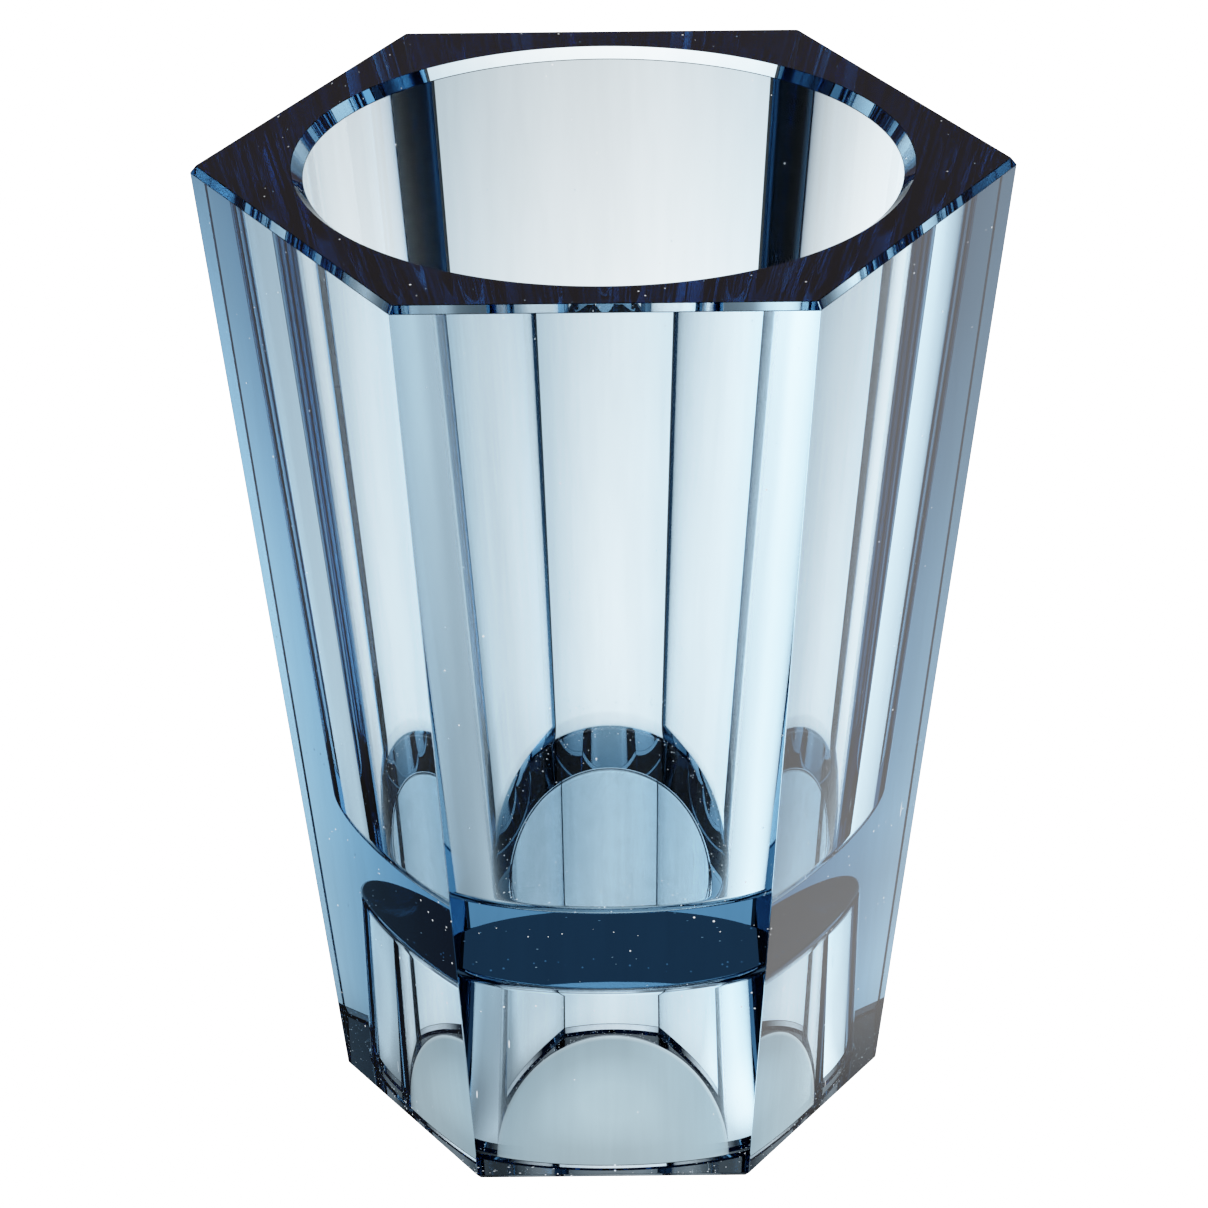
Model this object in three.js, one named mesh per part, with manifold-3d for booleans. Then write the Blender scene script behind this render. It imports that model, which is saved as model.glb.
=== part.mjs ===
// Cut crystal vase: one solid block of crystal, cut outside as a six-sided prism that widens
// upwards. A round tapered bore holds the water and stops well above the foot, and a round
// tapered recess hollows the foot from below. A thick web of crystal is left between the two.
//
// Units are millimetres and +Z is up. The origin is the centre of the foot, so the vase stands
// on the plane z = 0 with one of its six faces towards -Y.

import * as THREE from 'three';
import { mergeVertices } from 'three/addons/utils/BufferGeometryUtils.js';
import Module from 'manifold-3d';

// Outside: a regular hexagon at every height. A radius is taken from the axis to a corner.
const FACES = 6;
const HEIGHT = 200;
const TOP_CORNER_RADIUS = 80.1; // where the side faces meet the rim's outer bevel
const BASE_CORNER_RADIUS = 54; // where the side faces would meet the plane z = 0
const RIM_BEVEL_WIDTH = 1; // across, from a side face to the flat rim
const RIM_BEVEL_HEIGHT = 1.45;
const BASE_BEVEL = 1.2; // at 45 degrees round the foot

// Inside: a round bore, wider at the mouth than at its floor.
const MOUTH_RADIUS = 60.5; // on the flat rim
const MOUTH_CHAMFER_WIDTH = 2.3;
const MOUTH_CHAMFER_HEIGHT = 1.9;
const FLOOR_HEIGHT = 60;
const FLOOR_RADIUS = 41.5; // where the wall would meet the floor without its fillet
const FLOOR_FILLET = 2.8;

// Underneath: a round recess, wider at the foot than at its ceiling.
const RECESS_MOUTH_RADIUS = 38.2; // on the flat ring that the vase stands on
const RECESS_CHAMFER_WIDTH = 0.6;
const RECESS_CHAMFER_HEIGHT = 0.6;
const CEILING_HEIGHT = 41.3;
const CEILING_RADIUS = 35.1; // where the wall would meet the ceiling without its fillet
const CEILING_FILLET = 1.8;

const ROUND_SEGMENTS = 96;
const FILLET_STEPS = 5;
const OVERCUT = 5; // how far a cutting shape stands out of its mouth

const CORNER_TO_FLAT = Math.cos(Math.PI / FACES);

// A closed solid of revolution about Z from a profile of [radius, height] pairs, which runs
// upwards and starts and ends on the axis.
function revolve(profile, segments) {
  const points = profile.map(([radius, height]) => new THREE.Vector2(radius, height));
  const geometry = new THREE.LatheGeometry(points, segments);
  geometry.rotateX(Math.PI / 2);
  return geometry;
}

// Corner radius of the outside at a height between the two bevels.
function sideCornerRadius(height) {
  const share = height / (HEIGHT - RIM_BEVEL_HEIGHT);
  return THREE.MathUtils.lerp(BASE_CORNER_RADIUS, TOP_CORNER_RADIUS, share);
}

// The block before it is hollowed: a lathe of six flat segments, turned so that a face, not a
// corner, is towards -Y.
function outerBlock() {
  const profile = [
    [0, 0],
    [sideCornerRadius(BASE_BEVEL) - BASE_BEVEL / CORNER_TO_FLAT, 0],
    [sideCornerRadius(BASE_BEVEL), BASE_BEVEL],
    [TOP_CORNER_RADIUS, HEIGHT - RIM_BEVEL_HEIGHT],
    [TOP_CORNER_RADIUS - RIM_BEVEL_WIDTH / CORNER_TO_FLAT, HEIGHT],
    [0, HEIGHT],
  ];
  const geometry = revolve(profile, FACES);
  geometry.rotateZ(Math.PI / FACES);
  return geometry;
}

// Half section of a round tapered pocket as [radius, distance from its flat end] pairs: the
// flat end, its fillet, the wall, the chamfer and the overcut beyond the mouth.
function pocketProfile({ depth, endRadius, fillet, mouthRadius, chamferWidth, chamferHeight }) {
  const wallRadius = mouthRadius - chamferWidth;
  const wallLength = depth - chamferHeight;
  const lean = Math.atan2(wallRadius - endRadius, wallLength);

  // The fillet's centre lies one fillet radius from the flat end and as far from the wall.
  const wallRadiusThere = endRadius + fillet * Math.tan(lean);
  const centreRadius = wallRadiusThere - fillet / Math.cos(lean);

  const profile = [[0, 0]];
  for (let step = 0; step <= FILLET_STEPS; step += 1) {
    const angle = (step / FILLET_STEPS) * (Math.PI / 2 - lean);
    profile.push([
      centreRadius + fillet * Math.sin(angle),
      fillet - fillet * Math.cos(angle),
    ]);
  }
  const overcutRadius = mouthRadius + (OVERCUT * chamferWidth) / chamferHeight;
  profile.push([wallRadius, wallLength]);
  profile.push([overcutRadius, depth + OVERCUT]);
  profile.push([0, depth + OVERCUT]);
  return profile;
}

// The space above the web, open at the rim.
function boreCutter() {
  const profile = pocketProfile({
    depth: HEIGHT - FLOOR_HEIGHT,
    endRadius: FLOOR_RADIUS,
    fillet: FLOOR_FILLET,
    mouthRadius: MOUTH_RADIUS,
    chamferWidth: MOUTH_CHAMFER_WIDTH,
    chamferHeight: MOUTH_CHAMFER_HEIGHT,
  });
  return revolve(
    profile.map(([radius, distance]) => [radius, FLOOR_HEIGHT + distance]),
    ROUND_SEGMENTS,
  );
}

// The space below the web, open at the foot.
function recessCutter() {
  const profile = pocketProfile({
    depth: CEILING_HEIGHT,
    endRadius: CEILING_RADIUS,
    fillet: CEILING_FILLET,
    mouthRadius: RECESS_MOUTH_RADIUS,
    chamferWidth: RECESS_CHAMFER_WIDTH,
    chamferHeight: RECESS_CHAMFER_HEIGHT,
  });
  const downwards = profile.map(([radius, distance]) => [radius, CEILING_HEIGHT - distance]);
  return revolve(downwards.reverse(), ROUND_SEGMENTS);
}

const wasm = await Module();
wasm.setup();

// A solid that manifold-3d can cut, from a closed three.js geometry.
function toSolid(geometry) {
  const bare = geometry.clone();
  bare.deleteAttribute('normal');
  bare.deleteAttribute('uv');
  const merged = mergeVertices(bare);
  return new wasm.Manifold(
    new wasm.Mesh({
      numProp: 3,
      vertProperties: new Float32Array(merged.attributes.position.array),
      triVerts: new Uint32Array(merged.index.array),
    }),
  );
}

function toGeometry(solid) {
  const { vertProperties, triVerts } = solid.getMesh();
  const geometry = new THREE.BufferGeometry();
  geometry.setAttribute('position', new THREE.BufferAttribute(vertProperties, 3));
  geometry.setIndex(new THREE.BufferAttribute(triVerts, 1));
  geometry.computeVertexNormals();
  return geometry;
}

const crystal = new THREE.MeshStandardMaterial({
  name: 'crystal',
  color: 0xa9c4da,
  roughness: 0.02,
  metalness: 0,
});

const hollowed = toSolid(outerBlock())
  .subtract(toSolid(boreCutter()))
  .subtract(toSolid(recessCutter()));
const crystalBody = new THREE.Mesh(toGeometry(hollowed), crystal);
crystalBody.name = 'crystal_body';

const vase = new THREE.Group();
vase.name = 'cut_crystal_vase';
vase.add(crystalBody);

export default vase;
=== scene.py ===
"""Cut crystal vase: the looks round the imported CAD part, in the part's own frame.

Lengths are in millimetres unless a name says otherwise; the mesh itself is in metres.
"""

import math

import bpy
import numpy as np
from mathutils import Matrix, Vector


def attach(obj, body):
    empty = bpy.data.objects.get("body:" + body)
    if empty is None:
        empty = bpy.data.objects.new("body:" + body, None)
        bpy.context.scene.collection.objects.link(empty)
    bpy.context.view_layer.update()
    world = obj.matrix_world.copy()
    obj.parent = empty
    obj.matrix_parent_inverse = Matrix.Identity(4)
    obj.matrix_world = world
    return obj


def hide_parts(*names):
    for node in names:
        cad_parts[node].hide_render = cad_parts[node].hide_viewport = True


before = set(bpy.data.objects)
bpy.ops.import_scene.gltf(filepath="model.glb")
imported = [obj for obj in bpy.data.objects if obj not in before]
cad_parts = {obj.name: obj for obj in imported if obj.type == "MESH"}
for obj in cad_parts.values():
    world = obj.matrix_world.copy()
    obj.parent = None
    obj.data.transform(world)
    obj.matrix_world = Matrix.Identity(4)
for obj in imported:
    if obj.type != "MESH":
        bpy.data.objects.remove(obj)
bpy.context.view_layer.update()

# ---------------------------------------------------------------- sizes, as in the CAD part
FACES = 6
HEIGHT = 200.0
TOP_CORNER_RADIUS = 80.1
BASE_CORNER_RADIUS = 54.0
RIM_BEVEL = (1.0, 1.45)  # across, high
BASE_BEVEL = 1.2

MOUTH_RADIUS = 60.5
MOUTH_CHAMFER = (2.3, 1.9)
FLOOR_HEIGHT = 60.0
FLOOR_RADIUS = 41.5
FLOOR_FILLET = 2.8

RECESS_MOUTH_RADIUS = 38.2
RECESS_CHAMFER = (0.6, 0.6)
CEILING_HEIGHT = 41.3
CEILING_RADIUS = 35.1
CEILING_FILLET = 1.8

# Finer than the CAD part: no edge of polished crystal is quite sharp.
CORNER_ARRIS = np.array([0.7, 0.9, 0.9, 0.7, 0.3, 0.3])  # radius of each upright edge, from +X
WORN_SHADED_ARRIS = 0.5  # an upright edge with a larger radius than this is rougher, and painted dark as painted shade
EDGE_ARRIS = 0.20  # radius of the edges that run round
ARRIS_STEPS = 4
FILLET_STEPS = 16
SIDE_STEPS = 72  # points along each of the six sides, and a sixth of each circle

COS30 = math.cos(math.pi / FACES)
POINTS = FACES * SIDE_STEPS

# ---------------------------------------------------------------- the crystal's finish
IOR = 1.55
EDGE_SHADE_TINT = 0.01  # what a painted-dark edge lets through, as a share of what a face does: painted shade
EDGE_ROUGHNESS = 0.12
EDGE_SHADE = 0.6  # how much of a painted-dark edge is an opaque dark diffuse: painted shade
STREAK_DEPTH = 0.0000005  # metres

# Each kind of mark is a dot in some of the cells of a scattered grid: cells per metre along X, Y
# and Z, and the widest dot as a share of a cell.
DUST_CELLS, DUST_SIZE = (800.0, 800.0, 800.0), 0.18
DRIP_CELLS, DRIP_SIZE = (330.0, 330.0, 22.0), 0.09
OPEN_DUST, EDGE_DUST = 0.015, 0.6  # share of cells with a speck, on faces and along turned edges
DRIPS = 0.35  # share of cells with a drip
# How much of a drip is a painted glint, as a share of a speck.
DRIP_GLINT = 0.8


# ---------------------------------------------------------------- plan curves
def directions(angles):
    return np.stack([np.cos(angles), np.sin(angles)], 1)


class Circle:
    """Rings of points round a circle. across is the radius."""

    way = directions(np.arange(POINTS) * 2 * math.pi / POINTS)
    edge = np.zeros(POINTS)

    def ring(self, across, up):
        return np.column_stack([self.way * across, np.full(POINTS, up)])

    def normals(self, across, up):
        return np.column_stack([self.way * across, np.full(POINTS, up)])


class Hexagon:
    """Rings of points round a hexagon with rounded corners. across is half its width over flats.

    The corners lie at 0, 60, 120 degrees and so on, so a side faces -Y.
    """

    def __init__(self, arris):
        corner, following, share, turn = [], [], [], []
        straight = SIDE_STEPS - 2 * ARRIS_STEPS
        for side in range(FACES):
            first = side * math.pi / 3
            face, last = first + math.pi / 6, first + math.pi / 3
            bends = [
                (0, first + step / ARRIS_STEPS * math.pi / 6) for step in range(ARRIS_STEPS)
            ]
            bends += [(step / straight, face) for step in range(straight + 1)]
            bends += [
                (1, face + step / ARRIS_STEPS * math.pi / 6) for step in range(1, ARRIS_STEPS)
            ]
            for along, angle in bends:
                corner.append(first)
                following.append(last)
                share.append(along)
                turn.append(angle)
        corner, following, turn = map(np.array, (corner, following, turn))
        share = np.array(share)[:, None]
        near = arris[np.round(corner / (math.pi / 3)).astype(int) % FACES][:, None]
        far = arris[np.round(following / (math.pi / 3)).astype(int) % FACES][:, None]
        first, last = (1 - share) * directions(corner), share * directions(following)
        self.along = first + last
        self.inset = (first * near + last * far) / COS30
        self.arris = (1 - share) * near + share * far
        self.normal = directions(turn)
        # 1 on the upright edges that are rougher and painted dark as painted shade, 0 on the flat
        # sides and the others.
        bent = (share <= 0) | (share >= 1)
        self.edge = (bent & (self.arris > WORN_SHADED_ARRIS))[:, 0].astype(float)
        # An upright edge leans more than the faces beside it, by 1 / cos 30.
        off_face = np.minimum(abs(turn - corner), abs(turn - following))
        self.slope = np.where((share[:, 0] > 0) & (share[:, 0] < 1), 1, np.cos(off_face) / COS30)

    def ring(self, across, up):
        flat = self.along * across / COS30 - self.inset + self.normal * self.arris
        return np.column_stack([flat, np.full(POINTS, up)])

    def normals(self, across, up):
        if abs(across) < 1e-9:
            return np.tile([0.0, 0.0, up], (POINTS, 1))
        made = np.column_stack([self.normal * across, self.slope * up])
        return made / np.linalg.norm(made, axis=1, keepdims=True)


CIRCLE, HEXAGON = Circle(), Hexagon(CORNER_ARRIS)


# ---------------------------------------------------------------- the crystal
def outline():
    """Half section of the crystal, from the middle of the bore's floor round to the middle of the
    recess's ceiling, as (plan, across, up, radius of the bend there, steps in it)."""
    shoulder = TOP_CORNER_RADIUS * COS30
    base_side = BASE_CORNER_RADIUS * COS30
    foot = base_side + (shoulder - base_side) * BASE_BEVEL / (HEIGHT - RIM_BEVEL[1])
    wall_top = MOUTH_RADIUS - MOUTH_CHAMFER[0]
    recess_wall = RECESS_MOUTH_RADIUS - RECESS_CHAMFER[0]
    edge = (EDGE_ARRIS, ARRIS_STEPS)
    return [
        (CIRCLE, 0, FLOOR_HEIGHT, 0, 0),
        (CIRCLE, FLOOR_RADIUS, FLOOR_HEIGHT, FLOOR_FILLET, FILLET_STEPS),
        (CIRCLE, wall_top, HEIGHT - MOUTH_CHAMFER[1], *edge),
        (CIRCLE, MOUTH_RADIUS, HEIGHT, *edge),
        (HEXAGON, shoulder - RIM_BEVEL[0], HEIGHT, *edge),
        (HEXAGON, shoulder, HEIGHT - RIM_BEVEL[1], *edge),
        (HEXAGON, foot, BASE_BEVEL, *edge),
        (HEXAGON, foot - BASE_BEVEL, 0, *edge),
        (CIRCLE, RECESS_MOUTH_RADIUS, 0, *edge),
        (CIRCLE, recess_wall, RECESS_CHAMFER[1], *edge),
        (CIRCLE, CEILING_RADIUS, CEILING_HEIGHT, CEILING_FILLET, FILLET_STEPS),
        (CIRCLE, 0, CEILING_HEIGHT, 0, 0),
    ]


def bent(corners):
    """The outline with each corner bent to its radius, as points of it: (plan, place, outward
    normal, which narrow edge it is on, or 0 for none).

    The crystal lies to the right of the way along it, so a normal is to the left.
    """
    places = [np.array(c[1:3], float) for c in corners]
    ways = [(b - a) / np.linalg.norm(b - a) for a, b in zip(places, places[1:])]
    lefts = [np.array([-way[1], way[0]]) for way in ways]
    points = [(corners[0][0], places[0], lefts[0], 0)]
    for i in range(1, len(corners) - 1):
        plan, _, _, radius, steps = corners[i]
        before, after = ways[i - 1], ways[i]
        turn = math.atan2(before[0] * after[1] - before[1] * after[0], before @ after)
        side = math.copysign(radius, turn)
        start = places[i] - before * radius * math.tan(abs(turn) / 2)
        centre = start + side * lefts[i - 1]
        for step in range(steps + 1):
            angle = turn * step / steps
            cos, sin = math.cos(angle), math.sin(angle)
            x, y = lefts[i - 1]
            normal = np.array([x * cos - y * sin, x * sin + y * cos])
            points.append((plan, centre - side * normal, normal, i * (radius == EDGE_ARRIS)))
    points.append((corners[-1][0], places[-1], lefts[-1], 0))
    return points


def crystal_mesh():
    """One closed surface, ring by ring, with the exact normal at each corner of each face."""
    points = bent(outline())
    rings = [plan.ring(*place) for plan, place, _, _ in points[1:-1]]
    normals = [plan.normals(*normal) for plan, _, normal, _ in points[1:-1]]
    vertices = np.concatenate([*rings, [[0, 0, points[0][1][1]], [0, 0, points[-1][1][1]]]])
    around = np.arange(POINTS)
    onward = (around + 1) % POINTS
    narrow = [which for _, _, _, which in points[1:-1]]
    shaded_uprights = [np.minimum(plan.edge, np.roll(plan.edge, -1)) for plan, _, _, _ in points[1:-1]]
    faces, corner_normals, shaded_edges = [], [], []
    for k in range(len(rings) - 1):
        a, b = k * POINTS, (k + 1) * POINTS
        faces += np.stack([a + around, b + around, b + onward, a + onward], 1).tolist()
        here, there = normals[k], normals[k + 1]
        quad = [here[around], there[around], there[onward], here[onward]]
        corner_normals.append(np.stack(quad, 1).reshape(-1, 3))
        shaded_round = float(narrow[k] > 0 and narrow[k] == narrow[k + 1])
        shaded_edges.append(np.maximum(np.minimum(shaded_uprights[k], shaded_uprights[k + 1]), shaded_round))
    floor, ceiling, last = len(vertices) - 2, len(vertices) - 1, (len(rings) - 1) * POINTS
    faces += [[floor, int(i), int(j)] for i, j in zip(around, onward)]
    faces += [[ceiling, int(last + j), int(last + i)] for i, j in zip(around, onward)]
    corner_normals.append(np.tile([0.0, 0.0, 1.0], (3 * POINTS, 1)))
    corner_normals.append(np.tile([0.0, 0.0, -1.0], (3 * POINTS, 1)))

    mesh = bpy.data.meshes.new("vase")
    mesh.from_pydata((vertices / 1000).tolist(), [], faces)
    mesh.polygons.foreach_set("use_smooth", [True] * len(mesh.polygons))
    mesh.normals_split_custom_set(np.concatenate(corner_normals).tolist())
    # 1 on the edges that the material paints dark as painted shade.
    shaded_edges = np.concatenate([*shaded_edges, np.zeros(2 * POINTS)])
    mesh.attributes.new("edge", "FLOAT", "FACE").data.foreach_set(
        "value", shaded_edges.astype(np.float32)
    )
    mesh.update()
    return mesh


class Graph:
    """Short names for the nodes of the crystal's material."""

    def __init__(self, tree):
        self.nodes, self.links = tree.nodes, tree.links

    def add(self, kind, settings=(), **inputs):
        """A node, with its inputs given by name (_ for a space), as values or as sockets."""
        node = self.nodes.new(kind)
        for name, value in dict(settings).items():
            setattr(node, name, value)
        for name, value in inputs.items():
            socket = node.inputs[int(name[1:]) if name[1:].isdigit() else name.replace("_", " ")]
            if isinstance(value, bpy.types.NodeSocket):
                self.links.new(value, socket)
            else:
                socket.default_value = value
        return node

    def math(self, operation, first, second=0.0):
        node = self.add("ShaderNodeMath", {"operation": operation}, _0=first, _1=second)
        return node.outputs["Value"]

    def between(self, value, low, high, start=0.0, end=1.0):
        """start below low, end above high, and even between them."""
        node = self.add("ShaderNodeMapRange", (), Value=value, From_Min=low, From_Max=high)
        node.inputs["To Min"].default_value = start
        node.inputs["To Max"].default_value = end
        return node.outputs["Result"]

    def stretched(self, place, x, y, z):
        """The place in the object, in metres, scaled by a number for each axis."""
        node = self.add("ShaderNodeMapping", (), Vector=place, Scale=(x, y, z))
        return node.outputs["Vector"]

    def noise(self, place, scale, detail=2.0):
        node = self.add("ShaderNodeTexNoise", (), Vector=place, Scale=scale, Detail=detail)
        return node.outputs["Fac"]

    def marks(self, place, size, share):
        """1 on small dots, one in some of the cells of a grid of scattered points."""
        cells = self.add("ShaderNodeTexVoronoi", (), Vector=place, Scale=1.0)
        pick = self.add("ShaderNodeSeparateColor", (), Color=cells.outputs["Color"])
        chosen = self.math("LESS_THAN", pick.outputs["Red"], share)
        reach = self.between(pick.outputs["Green"], 0.0, 1.0, size * 0.4, size)
        dot = self.math("LESS_THAN", cells.outputs["Distance"], reach)
        return self.math("MULTIPLY", dot, chosen)


def near_height(graph, height, middle, reach):
    """1 within reach of a height in the object, 0 further off."""
    off = graph.math("ABSOLUTE", graph.math("SUBTRACT", height, middle / 1000))
    return graph.between(off, 0.0, reach / 1000, 1.0, 0.0)


def polishing_streaks(graph, place):
    """Faint upright streaks from the polishing wheel, fine and broad, as a number near 0.5."""
    fine = graph.noise(graph.stretched(place, 1.0, 1.0, 0.02), 420.0, 3.0)
    broad = graph.noise(graph.stretched(place, 1.0, 1.0, 0.03), 130.0, 1.0)
    return graph.math("ADD", *[graph.math("MULTIPLY", each, 0.5) for each in (fine, broad)])


def dust_and_drip_glints(graph, place):
    """1 on fine specks of dust, and a little less on thin dry drips, which glow white as painted
    glints.

    There are a few specks everywhere and more along the floor of the bore, the ceiling of the
    recess and the foot. The drips are upright and low down.
    """
    axes = graph.add("ShaderNodeSeparateXYZ", (), Vector=place).outputs
    height = axes["Z"]
    squares = [graph.math("POWER", axes[axis], 2.0) for axis in "XY"]
    radius = graph.math("SQRT", graph.math("ADD", *squares))

    along = near_height(graph, height, FLOOR_HEIGHT, 2.5)
    along = graph.math("MAXIMUM", along, near_height(graph, height, CEILING_HEIGHT, 1.2))
    # The flat middles of the floor and the ceiling are clean.
    along = graph.math("MULTIPLY", along, graph.between(radius, 0.0335, 0.0350))
    along = graph.math("MAXIMUM", along, near_height(graph, height, 0.3, 1.6))

    share = graph.between(along, 0.0, 1.0, OPEN_DUST, EDGE_DUST)
    dust = graph.marks(graph.stretched(place, *DUST_CELLS), DUST_SIZE, share)
    drips = graph.marks(graph.stretched(place, *DRIP_CELLS), DRIP_SIZE, DRIPS)
    drips = graph.math("MULTIPLY", drips, graph.between(height, 0.060, 0.066, 1.0, 0.0))
    return graph.math("MAXIMUM", dust, graph.math("MULTIPLY", drips, DRIP_GLINT))


def crystal_material():
    material = bpy.data.materials.new("crystal")
    material.use_nodes = True
    graph = Graph(material.node_tree)
    glass = graph.nodes["Principled BSDF"]
    place = graph.add("ShaderNodeTexCoord").outputs["Object"]
    edge = graph.add("ShaderNodeAttribute", {"attribute_name": "edge"}).outputs["Fac"]

    # Clear crystal. The narrow edges are rougher, and painted dark against the faces as painted
    # shade.
    streaks = polishing_streaks(graph, place)
    clear = graph.between(streaks, 0.42, 0.58, 0.94, 1.0)
    clear = graph.math("MULTIPLY", clear, graph.between(edge, 0.0, 1.0, 1.0, EDGE_SHADE_TINT))
    graph.links.new(clear, glass.inputs["Base Color"])
    roughness = graph.between(edge, 0.0, 1.0, 0.0, EDGE_ROUGHNESS)
    graph.links.new(roughness, glass.inputs["Roughness"])
    bump = graph.add("ShaderNodeBump", (), Strength=1.0, Distance=STREAK_DEPTH, Height=streaks)
    graph.links.new(bump.outputs["Normal"], glass.inputs["Normal"])
    glass.inputs["IOR"].default_value = IOR
    glass.inputs["Transmission Weight"].default_value = 1.0
    glass.inputs["Specular Tint"].default_value = (0, 0, 0, 1)

    # Painted shade: an opaque dark blue diffuse mixed into the edges.
    edge_shade_paint = graph.add("ShaderNodeBsdfDiffuse", (), Color=(0.01, 0.02, 0.04, 1.0), Roughness=0.5)
    edge_shade = graph.math("MULTIPLY", edge, EDGE_SHADE)
    body = graph.add("ShaderNodeMixShader", (), Fac=edge_shade, _1=glass.outputs["BSDF"])
    graph.links.new(edge_shade_paint.outputs["BSDF"], body.inputs[2])

    # Painted glints: the specks of dust and the drips glow white from an emission shader, so they
    # show white on dark crystal.
    glint_mask = dust_and_drip_glints(graph, place)
    glint_glow = graph.add("ShaderNodeEmission", (), Color=(0.9, 0.95, 1.0, 1.0), Strength=1.6)
    both = graph.add("ShaderNodeMixShader", (), Fac=glint_mask, _1=body.outputs["Shader"])
    graph.links.new(glint_glow.outputs["Emission"], both.inputs[2])
    out = graph.nodes["Material Output"]
    graph.links.new(both.outputs["Shader"], out.inputs["Surface"])

    # Steel blue in the mass: the loss per metre is 31 of red, 21.4 of green and 15.2 of blue.
    inside = graph.add("ShaderNodeVolumeAbsorption", (), Color=(0.225, 0.465, 0.62, 1))
    inside.inputs["Density"].default_value = 40.0
    graph.links.new(inside.outputs["Volume"], out.inputs["Volume"])
    return material


vase = bpy.data.objects.new("crystal_vase", crystal_mesh())
bpy.context.scene.collection.objects.link(vase)
vase.data.materials.append(crystal_material())
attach(vase, "root")
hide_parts("crystal_body")


# ---------------------------------------------------------------- studio
def blend(low, high, value):
    """0 below low, 1 above high, and smooth between them."""
    share = np.clip((value - low) / (high - low), 0, 1)
    return share * share * (3 - 2 * share)


def glowing(name, strength, attribute=False):
    """A plain light-giving surface.

    Its light is even, or with attribute it is the mesh's "glow" where it is seen through the
    crystal and "shine" where it is seen reflected on the crystal's surface.
    """
    material = bpy.data.materials.new(name)
    material.use_nodes = True
    nodes, links = material.node_tree.nodes, material.node_tree.links
    nodes.clear()
    light = nodes.new("ShaderNodeEmission")
    light.inputs["Strength"].default_value = strength
    if attribute:
        glow = nodes.new("ShaderNodeAttribute")
        glow.attribute_name = "glow"
        shine = nodes.new("ShaderNodeAttribute")
        shine.attribute_name = "shine"
        path = nodes.new("ShaderNodeLightPath")
        seen = nodes.new("ShaderNodeMix")
        seen.data_type = "RGBA"
        mirrored = nodes.new("ShaderNodeMath")
        mirrored.operation = "SUBTRACT"
        mirrored.use_clamp = True
        links.new(path.outputs["Is Glossy Ray"], mirrored.inputs[0])
        links.new(path.outputs["Is Transmission Ray"], mirrored.inputs[1])
        links.new(mirrored.outputs["Value"], seen.inputs["Factor"])
        links.new(glow.outputs["Color"], seen.inputs["A"])
        links.new(shine.outputs["Color"], seen.inputs["B"])
        links.new(seen.outputs["Result"], light.inputs["Color"])
    out = nodes.new("ShaderNodeOutputMaterial")
    links.new(light.outputs["Emission"], out.inputs["Surface"])
    return material


def polar_mesh(name, rings, glow, shine):
    """A sheet or dome of rings round Z, each (radius, height), from the middle out, with its glow
    and its shine at each point."""
    steps = 144
    way = directions(np.arange(steps) * 2 * math.pi / steps)
    vertices = np.concatenate(
        [np.column_stack([way * radius, np.full(steps, height)]) for radius, height in rings]
    )
    here = np.arange(steps)
    onward = (here + 1) % steps
    faces = []
    for k in range(len(rings) - 1):
        a, b = k * steps, (k + 1) * steps
        faces += np.stack([a + here, b + here, b + onward, a + onward], 1).tolist()
    mesh = bpy.data.meshes.new(name)
    mesh.from_pydata((vertices / 1000).tolist(), [], faces)
    for layer, light in (("glow", glow(vertices)), ("shine", shine(vertices))):
        colours = np.column_stack([light, np.ones(len(vertices))])
        mesh.attributes.new(layer, "FLOAT_COLOR", "POINT").data.foreach_set(
            "color", colours.astype(np.float32).ravel()
        )
    return mesh


# The levels here and in SKY_LIGHT were set by hand from the ratios between the photo's brightness
# and a render's, which a scratch program printed.
# How bright the light table looks through the crystal, by distance from the axis (rows) and by
# direction (columns: the cosine of the angle from +X). It is brightest on the right, where the
# main soft light stands, and dimmer on the left, far behind and close to the foot. The dimness on
# the left and close to the foot is the vase's own shadow, painted into the table's light.
TABLE_DISTANCES = (45, 65, 95, 135, 180, 230, 300, 425, 650, 1200)
TABLE_DIRECTIONS = (-1, -0.87, -0.5, 0, 0.5, 0.87, 1)
TABLE_LIGHT = (
    (0.35, 0.80, 1.20, 2.00, 1.60, 2.00, 2.50),
    (0.58, 1.65, 1.95, 2.25, 2.30, 2.80, 5.30),
    (0.70, 1.80, 1.75, 2.40, 2.50, 3.30, 5.50),
    (1.05, 2.05, 1.75, 2.40, 2.70, 3.45, 4.80),
    (1.20, 2.10, 2.20, 2.90, 3.05, 3.90, 5.00),
    (1.50, 2.00, 2.00, 2.90, 3.15, 4.00, 5.10),
    (1.90, 1.80, 1.85, 2.50, 3.15, 4.30, 5.50),
    (2.10, 1.55, 1.55, 1.85, 2.80, 4.60, 7.00),
    (1.90, 1.20, 0.75, 1.00, 1.15, 4.00, 7.50),
    (1.00, 0.80, 0.60, 0.60, 0.35, 1.40, 2.90),
)


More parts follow.
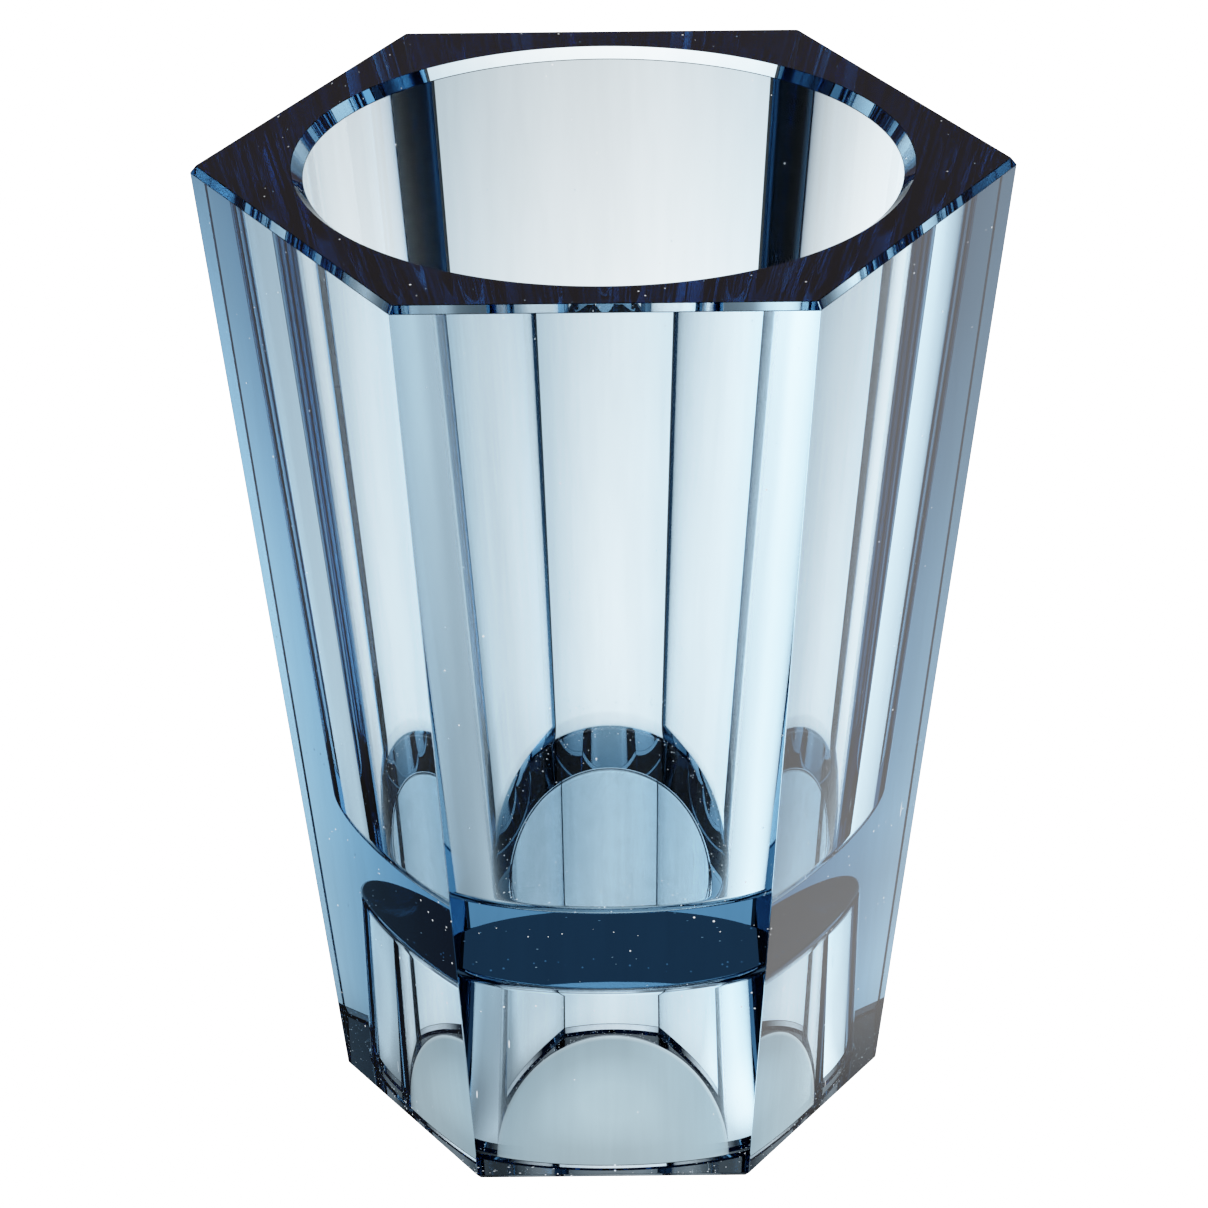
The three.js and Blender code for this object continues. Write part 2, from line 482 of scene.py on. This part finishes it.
def table_glow(p):
    """How bright the table looks through the crystal, as red, green and blue."""
    x, y = p[:, 0], p[:, 1]
    r = np.maximum(np.hypot(x, y), 1e-6)
    row = np.interp(r, TABLE_DISTANCES, np.arange(len(TABLE_DISTANCES)))
    column = np.interp(x / r, TABLE_DIRECTIONS, np.arange(len(TABLE_DIRECTIONS)))
    i = np.minimum(row.astype(int), len(TABLE_DISTANCES) - 2)
    j = np.minimum(column.astype(int), len(TABLE_DIRECTIONS) - 2)
    down, on, levels = row - i, column - j, np.array(TABLE_LIGHT)
    nearer = levels[i, j] * (1 - on) + levels[i, j + 1] * on
    farther = levels[i + 1, j] * (1 - on) + levels[i + 1, j + 1] * on
    light = nearer * (1 - down) + farther * down
    # It is dimmer on the camera's side, most of all straight in front of the vase.
    light = light * (1 - 0.23 * blend(0, 60, -y))
    ahead = blend(50, 90, -y) * (1 - blend(100, 220, abs(x)))
    light = light * (1 - 0.8 * ahead)
    rgb = light[:, None] * np.array([1.11, 1.13, 1.12])
    # Light that came down through the crystal into the hollow of the foot.
    hollow = (1 - blend(36, 41, r))[:, None]
    through = np.array([0.95, 1.17, 1.26]) * (1 - 0.30 * blend(10, 34, r))[:, None]
    through = through * (1 + 0.40 * blend(0, 30, x) * blend(15, 34, r))[:, None]
    return rgb * (1 - hollow) + hollow * through


def table_shine(p):
    """How bright the table looks mirrored on the outside of the crystal."""
    x, r = p[:, 0], np.hypot(p[:, 0], p[:, 1])
    right = 1.5 * blend(20, 90, x) - 0.3 * blend(100, 160, x)
    left = 0.45 * blend(0, 60, -x) * blend(130, 260, r)
    return np.repeat((0.05 + right + left)[:, None], 3, 1)


# How bright the room is by height above the horizon, in degrees.
SKY_LIGHT = [(-5, 2.4), (6, 2.5), (9, 2.0), (12, 2.1), (15, 1.2), (18, 0.6), (21, 0.4), (24, 0.2)]
SKY_LIGHT += [(27, 0.42), (31, 0.38), (34, 0.45), (50, 0.4), (90, 0.4)]


def sky_glow(p):
    """How bright the room looks through the crystal."""
    x, y, z = (p / np.linalg.norm(p, axis=1, keepdims=True)).T
    elevation = np.degrees(np.arcsin(z))
    light = np.interp(elevation, *zip(*SKY_LIGHT))
    # Brighter towards the right; dark high up at both sides, low down a little to the right, and
    # behind the camera.
    light = light * (1 + 0.45 * x)
    light = light * (1 - 0.75 * blend(0.3, 0.8, abs(x)) * blend(16, 24, elevation))
    beside = blend(0.15, 0.35, x) * (1 - blend(0.78, 0.92, x)) * (1 - blend(6, 10, elevation))
    light = light * (1 - 0.85 * beside)
    light = light * (1 - 0.99 * blend(0.62, 0.85, -y))
    return np.repeat(light[:, None], 3, 1)


def sky_shine(p):
    return np.tile([0.23, 0.21, 0.23], (len(p), 1))


WHITE = 4.0  # light that shows as plain white
FLOOR_REACH = 6.0  # metres
FLOOR_DROP = 0.002  # metres below the foot, under the light that the crystal sees
TABLE_DROP = 0.05
ROOM_RADIUS = 3000
TABLE_RADII = [0.01, 10, 20, 28, 36, 38, 40, 42, 44, 46, 48, 50, 55, 60, 70, 80, 90, 100, 110]
TABLE_RADII += [120, 135, 150, 180, 220, 260, 300, 400, 500, 700, 900, 1200, 2000, ROOM_RADIUS]


def studio():
    """A white floor and background, with the uneven light of the table and the room seen only
    through and on the crystal, never by the camera itself."""
    mesh = bpy.data.meshes.new("studio_floor")
    ways = [(-1, -1), (1, -1), (1, 1), (-1, 1)]
    corners = [(x * FLOOR_REACH, y * FLOOR_REACH, 0) for x, y in ways]
    mesh.from_pydata(corners, [], [(0, 1, 2, 3)])
    floor = bpy.data.objects.new("studio_floor", mesh)
    mesh.materials.append(glowing("light_table", WHITE))
    floor.location.z = -FLOOR_DROP

    rings = [(radius, -TABLE_DROP) for radius in TABLE_RADII]
    sheet = polar_mesh("table_light", rings, table_glow, table_shine)
    sheet.materials.append(glowing("table_light", 1.0, attribute=True))
    turns = np.radians(np.arange(0, 90, 1.5))
    rings = [(ROOM_RADIUS * math.cos(t), ROOM_RADIUS * math.sin(t) - TABLE_DROP) for t in turns]
    dome = polar_mesh("sky_light", rings, sky_glow, sky_shine)
    dome.materials.append(glowing("sky_light", 1.0, attribute=True))
    made = [floor]
    for name, data in (("table_light", sheet), ("sky_light", dome)):
        lamp = bpy.data.objects.new(name, data)
        lamp.visible_camera = False
        made.append(lamp)
    for o in made:
        bpy.context.scene.collection.objects.link(o)

    world = bpy.data.worlds.new("studio")
    world.use_nodes = True
    world.node_tree.nodes["Background"].inputs["Color"].default_value = (1, 1, 1, 1)
    world.node_tree.nodes["Background"].inputs["Strength"].default_value = WHITE
    bpy.context.scene.world = world


studio()

# ---------------------------------------------------------------- camera
ELEVATION = 25.92
ROLL = -0.57
DISTANCE = 1488.0
SLIDE = (-0.76, 4.34)  # what the middle of the picture looks at, right of and above the axis
LENS_MM = 222.5


def photo_camera():
    """A camera that looks along +Y and down, with a small roll."""
    elevation, roll = math.radians(ELEVATION), math.radians(ROLL)
    ahead = Vector((0, math.cos(elevation), -math.sin(elevation)))
    right = Vector((1, 0, 0))
    up = right.cross(ahead)
    right, up = (
        right * math.cos(roll) + up * math.sin(roll),
        up * math.cos(roll) - right * math.sin(roll),
    )
    target = Vector((0, 0, HEIGHT / 2)) + right * SLIDE[0] + up * SLIDE[1]
    place = (target - ahead * DISTANCE) / 1000
    data = bpy.data.cameras.new("camera")
    data.lens, data.sensor_width = LENS_MM, 36
    data.clip_start, data.clip_end = 0.05, 50
    camera = bpy.data.objects.new("camera", data)
    camera.matrix_world = Matrix(
        (
            (right.x, up.x, -ahead.x, place.x),
            (right.y, up.y, -ahead.y, place.y),
            (right.z, up.z, -ahead.z, place.z),
            (0, 0, 0, 1),
        )
    )
    bpy.context.scene.collection.objects.link(camera)
    return camera


scene = bpy.context.scene
scene.camera = photo_camera()


# How the picture shows each level of light.
FILM_LIGHTS = (0, 0.01, 0.02, 0.04, 0.07, 0.1, 0.2, 0.35, 0.5, 0.75, 1, 1.4, 1.8, 2.4, 3, WHITE)
TOE_DEPTH, TOE_REACH = 0.5, 0.04  # how much the deepest blacks are darkened, and up to what light


def film_curve(view):
    """Highlights that roll off as they do on film, so light glass keeps its tint, and deep
    blacks."""
    view.view_transform = "Standard"
    view.use_curve_mapping = True
    mapping = view.curve_mapping
    mapping.white_level = (WHITE, WHITE, WHITE)
    points = mapping.curves[3].points
    for light in FILM_LIGHTS:
        shown = (1 - math.exp(-light)) / (1 - math.exp(-WHITE))
        shown *= 1 - TOE_DEPTH * math.exp(-light / TOE_REACH)
        at = light / WHITE
        if light == FILM_LIGHTS[0]:
            points[0].location = (at, shown)
        elif light == FILM_LIGHTS[-1]:
            points[-1].location = (at, shown)
        else:
            points.new(at, shown)
    mapping.update()


film_curve(scene.view_settings)
scene.cycles.max_bounces = 32
scene.cycles.transmission_bounces = 32
scene.cycles.glossy_bounces = 16
scene.cycles.blur_glossy = 0.0
scene.cycles.sample_clamp_indirect = 0.0
